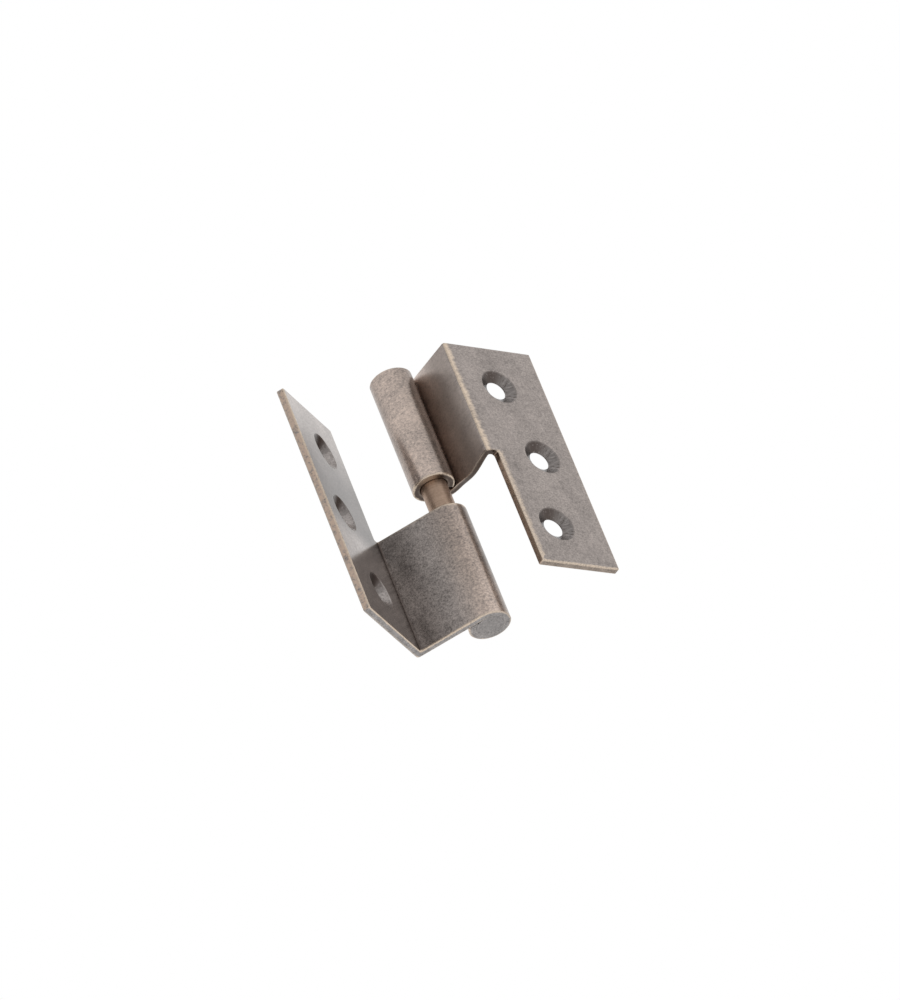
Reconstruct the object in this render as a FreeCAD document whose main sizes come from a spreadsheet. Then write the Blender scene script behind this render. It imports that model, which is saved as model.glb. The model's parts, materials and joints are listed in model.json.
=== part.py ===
"""Cranked lift-off hinge: two folded sheet leaves on one plain pin, drawn partly lifted and partly open.

Millimetres. Z runs up along the pin and X points away from the frame leaf's mounting face. The origin
lies on that face, midway between the frame leaf's two outer screw holes.
"""
import FreeCAD
import Part
import Sketcher
import math
import os

# Driving dimensions: alias, value, meaning. Lengths are in millimetres and angles in degrees.
SIZES = [
    ("flap_length", 63.0, "length of each screw flap along the pin"),
    ("sheet_thickness", 1.8, "steel sheet that both leaves are folded from"),
    ("pin_diameter", 6.2, "plain pin"),
    ("pin_length", 58.0, "pin, from the lower knuckle's end to its tip"),
    ("pin_lead", 0.8, "chamfer that leads the pin into the upper knuckle"),
    ("frame_fit", 0.04, "radial clearance of the pin in the lower knuckle"),
    ("lift_fit", 0.1, "radial clearance of the pin in the upper knuckle"),
    ("knuckle_length", 31.3, "length of each rolled knuckle and its web"),
    ("frame_crank", 15.6, "pin axis to the frame flap's countersunk face"),
    ("nesting_gap", 0.8, "gap between the two flaps when the hinge is shut"),
    ("frame_reach", 30.2, "pin axis to the frame flap's free edge"),
    ("lift_reach", 29.9, "pin axis to the lift-off flap's free edge"),
    ("frame_cut_back", 1.45, "frame web's outer face to the cut edge of its flap"),
    ("lift_cut_back", 1.25, "lift-off web's outer face to the cut edge of its flap"),
    ("bend_radius", 0.5, "inside radius of the crank's fold"),
    ("arris_radius", 0.6, "outside radius of the crank's fold, pressed to a sharp arris"),
    ("relief_radius", 0.7, "rounding where the lift-off flap's cut edge meets its fold"),
    ("seam_gap", 0.2, "gap where a rolled knuckle comes back to its web"),
    ("wrap_blend", 15.0, "angle at which the lift-off web has closed to the knuckle's radius"),
    ("wrap_end", 260.0, "angle at which the lift-off knuckle's roll ends"),
    ("edge_break", 0.2, "chamfer that breaks the sheet's edges"),
    ("hole_reach", 16.8, "pin axis to the centre line of the outer screw holes"),
    ("hole_stagger", 4.2, "how much further out the middle screw hole lies"),
    ("hole_pitch", 20.0, "spacing of the screw holes along the flap"),
    ("screw_hole", 5.0, "clearance hole for the screw"),
    ("countersink", 9.3, "countersink at the flap's face"),
    ("countersink_land", 0.3, "straight wall left below the countersink"),
    ("rest_swing", 150.4, "how far the lift-off leaf is swung open from shut"),
    ("rest_lift", 7.9, "how far the lift-off leaf is lifted up the pin"),
]

SHARP_ANGLE = 30.0
PROBE = 0.02
TWO_RIGHT_ANGLES = 180.0
BOTTOM_ANGLE = -90.0

# Sketcher's codes for the points of a curve, and for the curve that stands for the sketch's origin.
START, END, CENTRE = range(1, 4)
ORIGIN = -START


def make_sheet(doc):
    """Writes the driving dimensions to a spreadsheet, one aliased cell each."""
    sheet = doc.addObject("Spreadsheet::Sheet", "Sizes")
    for row, (alias, value, meaning) in enumerate(SIZES, start=1):
        sheet.set(f"A{row}", alias)
        sheet.set(f"B{row}", str(value))
        sheet.set(f"C{row}", meaning)
        sheet.setAlias(f"B{row}", alias)
    doc.recompute()
    return sheet


def origin_plane(body, role):
    """Finds one of a body's own origin planes by its role."""
    for feature in body.Origin.OriginFeatures:
        if feature.Role == role:
            return feature
    raise ValueError(role)


def new_sketch(body, name, role):
    """Adds an empty sketch to a body, flat on one of its origin planes."""
    sketch = body.newObject("Sketcher::SketchObject", name)
    sketch.AttachmentSupport = [(origin_plane(body, role), "")]
    sketch.MapMode = "FlatFace"
    return sketch


def dimension(sketch, kind, name, formula, *place):
    """Adds a named driving dimension, at its present value, and binds it to a formula."""
    index = sketch.addConstraint(Sketcher.Constraint(kind, *place))
    sketch.renameConstraint(index, name)
    sketch.setExpression(f"Constraints.{name}", formula)


def polar(centre, radius, degrees):
    """Gives the point of a circle at an angle."""
    angle = math.radians(degrees)
    offset = FreeCAD.Vector(math.cos(angle), math.sin(angle), 0) * radius
    return centre + offset


def arc(centre, radius, first, last):
    """Makes an arc from one angle, anticlockwise, to another."""
    circle = Part.Circle(centre, FreeCAD.Vector(0, 0, 1), radius)
    return Part.ArcOfCircle(circle, math.radians(first), math.radians(last))


class Leaf:
    """Sizes of one leaf, in its own frame: pin axis on Z, web along -X, flap towards -Y."""

    def __init__(self, sheet, wrapped):
        self.wrapped = wrapped
        self.thickness = sheet.sheet_thickness
        fit = sheet.lift_fit if wrapped else sheet.frame_fit
        self.bore = sheet.pin_diameter / 2 + fit
        self.knuckle = self.bore + self.thickness
        self.bend = sheet.bend_radius
        self.arris = sheet.arris_radius
        if wrapped:
            self.web = self.knuckle + sheet.seam_gap + self.thickness
            self.crank = sheet.frame_crank - sheet.nesting_gap - self.thickness
            self.reach = sheet.lift_reach
            self.blend = sheet.wrap_blend
            self.end = sheet.wrap_end
        else:
            self.web = self.knuckle
            self.crank = sheet.frame_crank
            self.reach = sheet.frame_reach
            self.blend = BOTTOM_ANGLE
            seam = (self.bore - sheet.seam_gap) / self.knuckle
            self.end = TWO_RIGHT_ANGLES + math.degrees(math.asin(seam))


# Formulas that both leaves' sketches share, for the frame leaf and for the wrapped lift-off leaf.
FORMULAS = {
    False: {
        "bore": "Sizes.pin_diameter / 2 + Sizes.frame_fit",
        "knuckle": "Sizes.pin_diameter / 2 + Sizes.frame_fit + Sizes.sheet_thickness",
        "web": "Sizes.pin_diameter / 2 + Sizes.frame_fit + Sizes.sheet_thickness",
        "crank": "Sizes.frame_crank",
        "reach": "Sizes.frame_reach",
        "cut_back": "Sizes.frame_cut_back",
    },
    True: {
        "bore": "Sizes.pin_diameter / 2 + Sizes.lift_fit",
        "knuckle": "Sizes.pin_diameter / 2 + Sizes.lift_fit + Sizes.sheet_thickness",
        "web": "Sizes.pin_diameter / 2 + Sizes.lift_fit + 2 * Sizes.sheet_thickness + Sizes.seam_gap",
        "crank": "Sizes.frame_crank - Sizes.nesting_gap - Sizes.sheet_thickness",
        "reach": "Sizes.lift_reach",
        "cut_back": "Sizes.lift_cut_back",
    },
}


def section_sketch(body, leaf):
    """Draws the sheet's folded section: rolled knuckle, web, crank fold and flap.

    The frame leaf's web runs straight off the knuckle. The lift-off leaf's web lies one sheet further
    out, so its roll starts with a wider arc that closes to the knuckle, and its end tucks in behind.
    """
    sketch = new_sketch(body, "Section", "XY_Plane")
    formula = FORMULAS[leaf.wrapped]
    axis = FreeCAD.Vector(0, 0, 0)
    thick = leaf.thickness
    flap_in = -leaf.crank
    flap_out = -leaf.crank - thick
    web_out = -leaf.web
    web_in = -leaf.web + thick
    fold = FreeCAD.Vector(flap_in + leaf.bend, web_out - leaf.bend, 0)
    arris = FreeCAD.Vector(flap_out + leaf.arris, web_in - leaf.arris, 0)
    rise = 1 + math.sin(math.radians(leaf.blend))
    if leaf.wrapped:
        wide = leaf.knuckle + (leaf.web - leaf.knuckle) / rise
        hub = polar(axis, leaf.knuckle - wide, leaf.blend)
    else:
        wide = leaf.knuckle
        hub = axis
    tip_out = polar(axis, leaf.knuckle, leaf.end)
    tip_in = polar(axis, leaf.bore, leaf.end)
    web_start_out = FreeCAD.Vector(hub.x, web_out, 0)
    web_start_in = FreeCAD.Vector(hub.x, web_in, 0)
    fold_web_in = FreeCAD.Vector(arris.x, web_in, 0)
    fold_web_out = FreeCAD.Vector(fold.x, web_out, 0)
    fold_flap_in = FreeCAD.Vector(flap_in, fold.y, 0)
    fold_flap_out = FreeCAD.Vector(flap_out, arris.y, 0)
    free_out = FreeCAD.Vector(flap_out, -leaf.reach, 0)
    free_in = FreeCAD.Vector(flap_in, -leaf.reach, 0)

    curve = {}
    curve["roll_out"] = sketch.addGeometry(arc(axis, leaf.knuckle, leaf.blend, leaf.end))
    curve["tip"] = sketch.addGeometry(Part.LineSegment(tip_out, tip_in))
    curve["roll_in"] = sketch.addGeometry(arc(axis, leaf.bore, leaf.blend, leaf.end))
    curve["web_in"] = sketch.addGeometry(Part.LineSegment(web_start_in, fold_web_in))
    curve["fold_out"] = sketch.addGeometry(arc(arris, leaf.arris, 90, 180))
    curve["flap_out"] = sketch.addGeometry(Part.LineSegment(fold_flap_out, free_out))
    curve["free"] = sketch.addGeometry(Part.LineSegment(free_out, free_in))
    curve["flap_in"] = sketch.addGeometry(Part.LineSegment(free_in, fold_flap_in))
    curve["fold_in"] = sketch.addGeometry(arc(fold, leaf.bend, 90, 180))
    curve["web_out"] = sketch.addGeometry(Part.LineSegment(fold_web_out, web_start_out))
    if leaf.wrapped:
        curve["wide_out"] = sketch.addGeometry(arc(hub, wide, BOTTOM_ANGLE, leaf.blend))
        curve["wide_in"] = sketch.addGeometry(arc(hub, wide - thick, BOTTOM_ANGLE, leaf.blend))

    def join(kind, first, first_end, second, second_end):
        sketch.addConstraint(Sketcher.Constraint(kind, curve[first], first_end, curve[second], second_end))

    if leaf.wrapped:
        join("Tangent", "wide_out", END, "roll_out", START)
        join("Tangent", "wide_in", END, "roll_in", START)
        join("Tangent", "web_out", END, "wide_out", START)
        join("Tangent", "wide_in", START, "web_in", START)
        join("Coincident", "wide_in", CENTRE, "wide_out", CENTRE)
    else:
        join("Tangent", "web_out", END, "roll_out", START)
        join("Tangent", "roll_in", START, "web_in", START)
    join("Coincident", "roll_out", END, "tip", START)
    join("Coincident", "tip", END, "roll_in", END)
    join("Tangent", "web_in", END, "fold_out", START)
    join("Tangent", "fold_out", END, "flap_out", START)
    join("Coincident", "flap_out", END, "free", START)
    join("Coincident", "free", END, "flap_in", START)
    join("Tangent", "flap_in", END, "fold_in", END)
    join("Tangent", "fold_in", START, "web_out", START)
    for roll in ("roll_out", "roll_in"):
        sketch.addConstraint(Sketcher.Constraint("Coincident", curve[roll], CENTRE, ORIGIN, START))
    sketch.addConstraint(Sketcher.Constraint("PointOnObject", ORIGIN, START, curve["tip"]))
    for level in ("web_out", "free"):
        sketch.addConstraint(Sketcher.Constraint("Horizontal", curve[level]))
    sketch.addConstraint(Sketcher.Constraint("Vertical", curve["flap_in"]))
    sketch.addConstraint(Sketcher.Constraint("Vertical", curve["flap_out"]))
    sketch.addConstraint(Sketcher.Constraint("Horizontal", curve["web_in"]))

    dimension(sketch, "Radius", "bore", formula["bore"], curve["roll_in"], leaf.bore)
    dimension(sketch, "Radius", "knuckle", formula["knuckle"], curve["roll_out"], leaf.knuckle)
    dimension(sketch, "Radius", "fold", "Sizes.bend_radius", curve["fold_in"], leaf.bend)
    dimension(sketch, "Radius", "arris", "Sizes.arris_radius", curve["fold_out"], leaf.arris)
    dimension(
        sketch, "DistanceX", "thickness", "Sizes.sheet_thickness",
        curve["free"], START, curve["free"], END, thick,
    )
    dimension(
        sketch, "DistanceX", "crank", formula["crank"],
        curve["free"], END, ORIGIN, START, leaf.crank,
    )
    dimension(
        sketch, "DistanceY", "reach", formula["reach"],
        curve["free"], END, ORIGIN, START, leaf.reach,
    )
    if leaf.wrapped:
        dimension(
            sketch, "DistanceY", "web", formula["web"],
            curve["web_out"], START, ORIGIN, START, leaf.web,
        )
        blend_height = leaf.knuckle * math.sin(math.radians(leaf.blend))
        dimension(
            sketch, "DistanceY", "blend", f"({formula['knuckle']}) * sin(Sizes.wrap_blend * 1deg)",
            ORIGIN, START, curve["roll_out"], START, blend_height,
        )
        tip_depth = -tip_out.y
        dimension(
            sketch, "DistanceY", "wrap", f"-({formula['knuckle']}) * sin(Sizes.wrap_end * 1deg)",
            curve["tip"], START, ORIGIN, START, tip_depth,
        )
    else:
        tip_depth = -tip_out.y
        dimension(
            sketch, "DistanceY", "seam", f"{formula['bore']} - Sizes.seam_gap",
            curve["tip"], START, ORIGIN, START, tip_depth,
        )
    return sketch


def plate_sketch(body, leaf, cut_back):
    """Draws the flap's plain rectangle, from its cut edge to its free edge."""
    sketch = new_sketch(body, "Plate", "XY_Plane")
    formula = FORMULAS[leaf.wrapped]
    left = -leaf.crank - leaf.thickness
    right = -leaf.crank
    low = -leaf.reach
    high = -leaf.web - cut_back
    corners = [(left, low), (right, low), (right, high), (left, high)]
    points = [FreeCAD.Vector(x, y, 0) for x, y in corners]
    sides = [sketch.addGeometry(Part.LineSegment(points[i], points[(i + 1) % 4])) for i in range(4)]
    for i in range(4):
        sketch.addConstraint(Sketcher.Constraint("Coincident", sides[i], END, sides[(i + 1) % 4], START))
    for i in (0, 2):
        sketch.addConstraint(Sketcher.Constraint("Horizontal", sides[i]))
    for i in (1, 3):
        sketch.addConstraint(Sketcher.Constraint("Vertical", sides[i]))
    crank, reach = formula["crank"], formula["reach"]
    dimension(sketch, "DistanceX", "crank", crank, sides[0], END, ORIGIN, START, leaf.crank)
    dimension(sketch, "DistanceY", "reach", reach, sides[0], END, ORIGIN, START, leaf.reach)
    dimension(
        sketch, "DistanceX", "thickness", "Sizes.sheet_thickness",
        sides[0], START, sides[0], END, leaf.thickness,
    )
    dimension(
        sketch, "DistanceY", "cut", f"{formula['web']} + {formula['cut_back']}",
        sides[2], START, ORIGIN, START, -high,
    )
    return sketch


def pad(body, name, sketch, formula, start):
    """Pads a sketch along the pin, its foot raised by a formula."""
    feature = body.newObject("PartDesign::Pad", name)
    feature.Profile = sketch
    sketch.setExpression("AttachmentOffset.Base.z", start)
    feature.setExpression("Length", formula)
    return feature


def face_normal(face, point):
    """Gives a face's outward normal near a point."""
    u, v = face.Surface.parameter(point)
    return face.normalAt(u, v)


def sharp_edges(shape, wanted):
    """Names a solid's convex sharp edges whose middle point the given test wants."""
    names = []
    for number, edge in enumerate(shape.Edges, start=1):
        faces = shape.ancestorsOfType(edge, Part.Face)
        if len(faces) != 2:
            continue
        middle = edge.valueAt((edge.FirstParameter + edge.LastParameter) / 2)
        first, second = (face_normal(face, middle) for face in faces)
        turn = math.degrees(first.getAngle(second))
        if turn < SHARP_ANGLE:
            continue
        convex = not shape.isInside(middle + (first - second) * PROBE, PROBE / 10, False)
        if wanted(middle, convex):
            names.append(f"Edge{number}")
    return names


def dress_edges(body, kind, name, edges, size, formula):
    """Fillets or chamfers edges of a body's last feature."""
    base = body.Tip
    feature = body.newObject(kind, name)
    feature.Base = (base, edges)
    feature.setExpression(size, formula)
    return feature


def screw_holes(body, leaf, sheet):
    """Cuts the three countersunk screw holes, staggered, into the flap's countersunk face."""
    sketch = new_sketch(body, "HoleCentres", "YZ_Plane")
    if leaf.wrapped:
        sketch.setExpression("AttachmentOffset.Base.z", "-(Sizes.frame_crank - Sizes.nesting_gap)")
    else:
        sketch.setExpression("AttachmentOffset.Base.z", "-Sizes.frame_crank")
    half = sheet.flap_length / 2
    places = [
        ("low", 0.0, -1, "Sizes.hole_reach"),
        ("middle", sheet.hole_stagger, 0, "Sizes.hole_reach + Sizes.hole_stagger"),
        ("high", 0.0, 1, "Sizes.hole_reach"),
    ]
    radius = sheet.screw_hole / 2
    for name, stagger, step, reach in places:
        across = -(sheet.hole_reach + stagger)
        height = half + step * sheet.hole_pitch
        ring = Part.Circle(FreeCAD.Vector(across, height, 0), FreeCAD.Vector(0, 0, 1), radius)
        index = sketch.addGeometry(ring)
        dimension(sketch, "Radius", f"{name}_size", "Sizes.screw_hole / 2", index, radius)
        dimension(sketch, "DistanceX", f"{name}_reach", reach, index, CENTRE, ORIGIN, START, -across)
        dimension(
            sketch, "DistanceY", f"{name}_height", f"Sizes.flap_length / 2 + {step} * Sizes.hole_pitch",
            ORIGIN, START, index, CENTRE, height,
        )
    body.Document.recompute()
    hole = body.newObject("PartDesign::Hole", "ScrewHoles")
    hole.Profile = sketch
    hole.DepthType = "ThroughAll"
    hole.Reversed = leaf.wrapped
    hole.HoleCutType = "Countersink"
    hole.setExpression("Diameter", "Sizes.screw_hole")
    hole.setExpression("HoleCutDiameter", "Sizes.countersink")
    spread = "(Sizes.countersink - Sizes.screw_hole) / 2"
    depth = "(Sizes.sheet_thickness - Sizes.countersink_land)"
    hole.setExpression("HoleCutCountersinkAngle", f"2 * atan({spread} / {depth})")
    return hole


def make_leaf(doc, sheet, label, wrapped):
    """Builds one leaf: folded section, flap plate, rounded edges and screw holes."""
    leaf = Leaf(sheet, wrapped)
    body = doc.addObject("PartDesign::Body", label)
    body.Label = label
    above = "Sizes.flap_length - Sizes.knuckle_length" if wrapped else "0"
    cut_back = sheet.lift_cut_back if wrapped else sheet.frame_cut_back
    pad(body, "KnuckleAndWeb", section_sketch(body, leaf), "Sizes.knuckle_length", above)
    doc.recompute()
    pad(body, "Flap", plate_sketch(body, leaf, cut_back), "Sizes.flap_length", "0")
    doc.recompute()
    if wrapped:
        step = sheet.flap_length - sheet.knuckle_length
        cut = -leaf.web - cut_back

        def at_relief(point, convex):
            return not convex and abs(point.z - step) < PROBE and abs(point.y - cut) < PROBE

        inside = sharp_edges(body.Shape, at_relief)
        dress_edges(body, "PartDesign::Fillet", "Relief", inside, "Radius", "Sizes.relief_radius")
        doc.recompute()

    def on_outline(point, convex):
        return convex and math.hypot(point.x, point.y) > leaf.bore + PROBE

    outline = sharp_edges(body.Shape, on_outline)
    dress_edges(body, "PartDesign::Chamfer", "BrokenEdges", outline, "Size", "Sizes.edge_break")
    doc.recompute()
    screw_holes(body, leaf, sheet)
    doc.recompute()
    return body


def make_pin(doc, sheet):
    """Turns the plain pin: its foot riveted flush into the lower knuckle's rim, its top chamfered."""
    body = doc.addObject("PartDesign::Body", "hinge_pin")
    body.Label = "hinge_pin"
    sketch = new_sketch(body, "PinProfile", "XZ_Plane")
    radius = sheet.pin_diameter / 2
    rivet, lead, top = sheet.edge_break, sheet.pin_lead, sheet.pin_length
    outline = [
        (0, 0), (radius + rivet, 0), (radius, rivet), (radius, top - lead), (radius - lead, top), (0, top),
    ]
    points = [FreeCAD.Vector(x, y, 0) for x, y in outline]
    count = len(points)
    pairs = [(points[i], points[(i + 1) % count]) for i in range(count)]
    foot, flare, side, chamfer, crown, axis = [sketch.addGeometry(Part.LineSegment(*pair)) for pair in pairs]
    chain = [foot, flare, side, chamfer, crown, axis]
    for i in range(count):
        following = chain[(i + 1) % count]
        sketch.addConstraint(Sketcher.Constraint("Coincident", chain[i], END, following, START))
    sketch.addConstraint(Sketcher.Constraint("Coincident", foot, START, ORIGIN, START))
    for level in (foot, crown):
        sketch.addConstraint(Sketcher.Constraint("Horizontal", level))
    for upright in (side, axis):
        sketch.addConstraint(Sketcher.Constraint("Vertical", upright))
    dimension(sketch, "DistanceX", "radius", "Sizes.pin_diameter / 2", ORIGIN, START, side, START, radius)
    dimension(sketch, "DistanceY", "length", "Sizes.pin_length", ORIGIN, START, crown, START, top)
    dimension(sketch, "DistanceX", "rivet_out", "Sizes.edge_break", side, START, foot, END, rivet)
    dimension(sketch, "DistanceY", "rivet_up", "Sizes.edge_break", foot, END, side, START, rivet)
    dimension(sketch, "DistanceX", "lead_in", "Sizes.pin_lead", crown, START, side, END, lead)
    dimension(sketch, "DistanceY", "lead_down", "Sizes.pin_lead", side, END, crown, START, lead)
    turned = body.newObject("PartDesign::Revolution", "TurnedPin")
    turned.Profile = sketch
    turned.ReferenceAxis = (sketch, ["V_Axis"])
    doc.recompute()
    return body


def place(body, lift, swing):
    """Puts a body's pin axis in the part's frame, lifted along the pin and swung about it."""
    turn = FreeCAD.Rotation(FreeCAD.Vector(0, 0, 1), swing)
    body.Placement = FreeCAD.Placement(FreeCAD.Vector(0, 0, 0), turn)
    body.setExpression("Placement.Base.x", "Sizes.frame_crank + Sizes.sheet_thickness")
    body.setExpression("Placement.Base.y", "Sizes.hole_reach")
    body.setExpression("Placement.Base.z", f"{lift} - Sizes.flap_length / 2")


def check(doc, bodies):
    """Stops if any object failed or any sub-part isn't one sound solid."""
    for item in doc.Objects:
        if "Invalid" in item.State or "Error" in item.State:
            raise RuntimeError(f"{item.Name} failed: {item.State}")
    for body in bodies:
        shape = body.Shape
        if shape.isNull() or not shape.isValid() or len(shape.Solids) != 1:
            raise RuntimeError(f"{body.Label} isn't one sound solid")


def main():
    """Builds the hinge and writes one file for each of its pieces."""
    doc = FreeCAD.newDocument("cranked_hinge")
    sheet = make_sheet(doc)
    frame_leaf = make_leaf(doc, sheet, "frame_leaf", False)
    lift_off_leaf = make_leaf(doc, sheet, "lift_off_leaf", True)
    hinge_pin = make_pin(doc, sheet)
    place(frame_leaf, "0", 0)
    place(hinge_pin, "0", 0)
    place(lift_off_leaf, "Sizes.rest_lift", sheet.rest_swing)
    doc.recompute()
    bodies = [frame_leaf, lift_off_leaf, hinge_pin]
    check(doc, bodies)
    os.makedirs("parts", exist_ok=True)
    for body in bodies:
        body.Shape.exportStep(f"parts/{body.Label}.step")
        box = body.Shape.BoundBox
        print(body.Label, "volume", round(body.Shape.Volume, 2), "box", box)


main()
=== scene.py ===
"""Dresses the cranked lift-off hinge: two folded leaves with a worn bronze patina on a plain pin.

Each leaf starts as its flat blank, with rounded edges and countersunk holes. A Geometry Nodes tree
then folds and rolls the blank by the developed lengths of its bends. Lengths are in millimetres
until a mesh is placed, and the row frame is in metres.
"""

import json
import logging
import math
from collections.abc import Callable
from dataclasses import dataclass, field
from enum import Enum
from typing import Union

import bpy
import numpy as np
from mathutils import Matrix, Vector, geometry

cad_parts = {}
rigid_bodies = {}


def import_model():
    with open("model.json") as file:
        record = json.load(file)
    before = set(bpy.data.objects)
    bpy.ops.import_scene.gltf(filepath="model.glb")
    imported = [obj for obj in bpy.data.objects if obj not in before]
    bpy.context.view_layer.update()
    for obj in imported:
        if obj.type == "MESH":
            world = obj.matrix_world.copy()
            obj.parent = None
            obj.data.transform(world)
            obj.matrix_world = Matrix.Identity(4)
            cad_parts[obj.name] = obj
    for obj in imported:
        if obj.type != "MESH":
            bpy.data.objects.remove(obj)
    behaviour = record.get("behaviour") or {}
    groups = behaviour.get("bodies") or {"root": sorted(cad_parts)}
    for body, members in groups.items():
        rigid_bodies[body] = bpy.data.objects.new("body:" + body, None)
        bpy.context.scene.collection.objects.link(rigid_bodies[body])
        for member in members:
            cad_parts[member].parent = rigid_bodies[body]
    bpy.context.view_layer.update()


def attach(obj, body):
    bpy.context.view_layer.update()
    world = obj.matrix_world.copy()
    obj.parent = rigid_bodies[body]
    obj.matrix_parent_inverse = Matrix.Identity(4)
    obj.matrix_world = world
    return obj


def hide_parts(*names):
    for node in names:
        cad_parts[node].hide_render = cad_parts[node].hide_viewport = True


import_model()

LOG = logging.getLogger("hinge")
MM = 0.001
Span = tuple[float, float]
Triple = tuple[float, float, float]
Colour = Triple
Number = Union["Value", float]


class Face(Enum):
    """Side of the sheet, as it runs from the flap's free edge to the end of the roll."""

    BORE = 1
    OUTER = -1


class Edge(Enum):
    """Sides of a leaf's flat outline."""

    FREE = "free edge of the flap"
    LOW = "lower end"
    HIGH = "upper end"
    CUT = "flap's edge beside the notch"
    WEB = "web's edge beside the notch"
    END = "end of the roll"


@dataclass(frozen=True)
class Wear:
    """How one edge has worn.

    Line and rim are the strengths of its bright line on the flat and on the roll, width is the line's
    width against the plain one, and tone is the cut face's: above 0 bright with bare metal and painted
    highlight, below 0 dark with soot and painted shade.
    """

    line: float
    rim: float
    tone: float
    width: float = 1.0


@dataclass(frozen=True)
class Zone:
    """Look of one stretch of a leaf: brightness, share of warm rubbing, speckle and roughness."""

    level: float
    warmth: float
    speckle: float
    roughness: float


@dataclass(frozen=True)
class Texture:
    """One noise: features for each unit, octaves, strength of the finer octaves, and stirring."""

    scale: float
    detail: float = 3.0
    rough: float = 0.55
    distortion: float = 0.0


@dataclass(frozen=True)
class HingeSizes:
    """Driving sizes of the hinge, and the places that follow from them."""

    flap: float = 63.0
    sheet: float = 1.8
    pin: float = 6.2
    pin_length: float = 58.0
    knuckle: float = 31.3
    crank: float = 15.6
    nesting: float = 0.8
    frame_reach: float = 30.2
    lift_reach: float = 29.9
    frame_cut_back: float = 1.45
    lift_cut_back: float = 1.25
    frame_fit: float = 0.04
    lift_fit: float = 0.1
    seam: float = 0.2
    bend: float = 0.5
    arris_sharpness: float = 8.7
    blend: float = 15.0
    wrap_end: float = 260.0
    hole_reach: float = 16.8
    hole_stagger: float = 4.2
    hole_pitch: float = 20.0
    swing: float = 150.4
    lift: float = 7.9

    @property
    def axis(self) -> Span:
        """Where the pin stands in the row frame."""
        return self.crank + self.sheet, self.hole_reach

    @property
    def foot(self) -> float:
        """Height of the frame leaf's lower end in the row frame."""
        return -0.5 * self.flap

    def holes(self, reach: float) -> list[Span]:
        """Places three holes on a blank whose free edge lies at a reach from the pin.

        Args:
            reach: distance from the pin to the flap's free edge.

        Returns:
            Run and height of each hole's centre.
        """
        near, middle = reach - self.hole_reach, 0.5 * self.flap
        low, high = middle - self.hole_pitch, middle + self.hole_pitch
        return [(near, low), (near - self.hole_stagger, middle), (near, high)]


SIZES = HingeSizes()


def operator(operation: str, swapped: bool = False) -> Callable[["Value", Number], "Value"]:
    """Makes a method that adds one Math node with two operands.

    Args:
        operation: the Math node's operation.
        swapped: whether the other operand comes first.

    Returns:
        The method.
    """
    def apply(self: "Value", other: Number) -> "Value":
        """Adds the node and gives its result."""
        operands = (other, self) if swapped else (self, other)
        return self.graph.node("ShaderNodeMath", {"operation": operation}, dict(enumerate(operands)))

    return apply


class Value:
    """A socket that carries numbers, with the arithmetic that adds Math nodes."""

    __add__ = __radd__ = operator("ADD")
    __mul__ = __rmul__ = operator("MULTIPLY")
    __sub__, __rsub__ = operator("SUBTRACT"), operator("SUBTRACT", swapped=True)
    __truediv__, __rtruediv__ = operator("DIVIDE"), operator("DIVIDE", swapped=True)
    __pow__ = operator("POWER")
    smaller, larger = operator("MINIMUM"), operator("MAXIMUM")

    def __init__(self, graph: "Graph", socket: bpy.types.NodeSocket) -> None:
        """Wraps one output socket of a graph."""
        self.graph = graph
        self.socket = socket

    def math(self, operation: str) -> "Value":
        """Adds one Math node on this value alone, such as a sine."""
        return self.graph.node("ShaderNodeMath", {"operation": operation}, {0: self})

    def size(self) -> "Value":
        """Drops the sign."""
        return self.math("ABSOLUTE")

    def ramp(self, low: float, high: float, start: float = 0.0, end: float = 1.0) -> "Value":
        """Goes smoothly from start to end as this value goes from low to high.

        Args:
            low: value at which the result leaves start.
            high: value at which the result reaches end.
            start: result at and before low.
            end: result at and past high.

        Returns:
            The eased value.
        """
        sockets = {0: self, 1: low, 2: high, 3: start, 4: end}
        return self.graph.node("ShaderNodeMapRange", {"interpolation_type": "SMOOTHSTEP"}, sockets)


Link = Value | float | tuple | bpy.types.ID


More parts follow.
